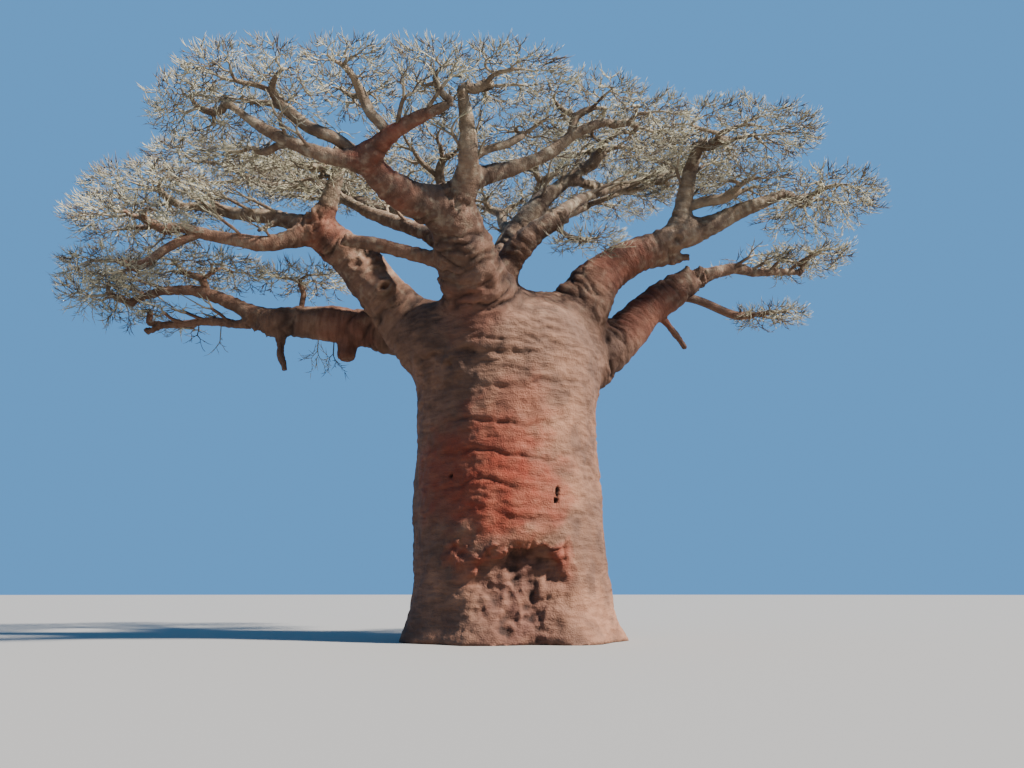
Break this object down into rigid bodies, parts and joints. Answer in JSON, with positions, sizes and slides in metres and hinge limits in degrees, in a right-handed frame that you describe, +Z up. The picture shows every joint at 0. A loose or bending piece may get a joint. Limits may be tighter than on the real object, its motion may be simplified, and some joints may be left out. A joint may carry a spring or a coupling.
{
  "type": "baobab tree",
  "caption": "Giant squat tree, bare in the dry season: a thick flared trunk with a worn foot, heavy spreading boughs and flat sprays of twigs.",
  "frame": {"origin": "the centre of the flat cut under the trunk, at ground level", "axes": "+Z up, +X along the crown's longer spread and to the right as the picture shows the tree, +Y away from its viewer"},
  "size_m": [27.4084, 18.054, 18.5332],
  "materials": {
    "trunk_bark": "rough, wrinkled reddish grey bark",
    "bough_bark": "rough grey-brown bark, red where it is worn",
    "limb_bark": "rough grey-brown bark",
    "twig_bark": "pale grey bark with lichen"
  },
  "bodies": {
    "root": {"trunk": "trunk_bark", "bough_left_low": "bough_bark", "bough_left": "bough_bark", "bough_front": "bough_bark", "bough_inner_right": "bough_bark", "bough_right_inner": "bough_bark", "bough_right": "bough_bark", "bough_right_low": "bough_bark", "bough_back_left": "bough_bark", "bough_back": "bough_bark", "limb_left_low_upper": "limb_bark", "limb_left_low_lower": "limb_bark", "limb_left_mid": "limb_bark", "limb_left_upper": "limb_bark", "limb_left_rising": "limb_bark", "limb_left_behind": "limb_bark", "limb_left_broken": "limb_bark", "limb_front_left": "limb_bark", "limb_front_left_out": "limb_bark", "limb_front_red": "limb_bark", "limb_front_rising": "limb_bark", "limb_front_right": "limb_bark", "limb_inner_right_out": "limb_bark", "limb_right_inner_out": "limb_bark", "limb_right_rising": "limb_bark", "limb_right_out": "limb_bark", "limb_right_low_out": "limb_bark", "twigs_left_low": "twig_bark", "twigs_left_low_top": "twig_bark", "twigs_left_sprig": "twig_bark", "twigs_left_low_end": "twig_bark", "twigs_left_mid": "twig_bark", "twigs_left_mid_low": "twig_bark", "twigs_left_upper": "twig_bark", "twigs_left_rising": "twig_bark", "twigs_left_behind": "twig_bark", "twigs_front_left_low": "twig_bark", "twigs_front_left_under": "twig_bark", "twigs_front_left_top": "twig_bark", "twigs_front_top": "twig_bark", "twigs_front_crown_left": "twig_bark", "twigs_front_crown": "twig_bark", "twigs_front_inner": "twig_bark", "twigs_front_right_top": "twig_bark", "twigs_front_right": "twig_bark", "twigs_inner_right": "twig_bark", "twigs_inner_right_out": "twig_bark", "twigs_right_inner": "twig_bark", "twigs_hanging": "twig_bark", "twigs_right_top": "twig_bark", "twigs_right_mid": "twig_bark", "twigs_right_out": "twig_bark", "twigs_right_low": "twig_bark", "twigs_right_low_down": "twig_bark", "twigs_centre": "twig_bark", "twigs_back_left_out": "twig_bark", "twigs_back_left": "twig_bark", "twigs_back": "twig_bark", "twigs_back_inner": "twig_bark", "twigs_back_right": "twig_bark"}
  },
  "joints": []
}
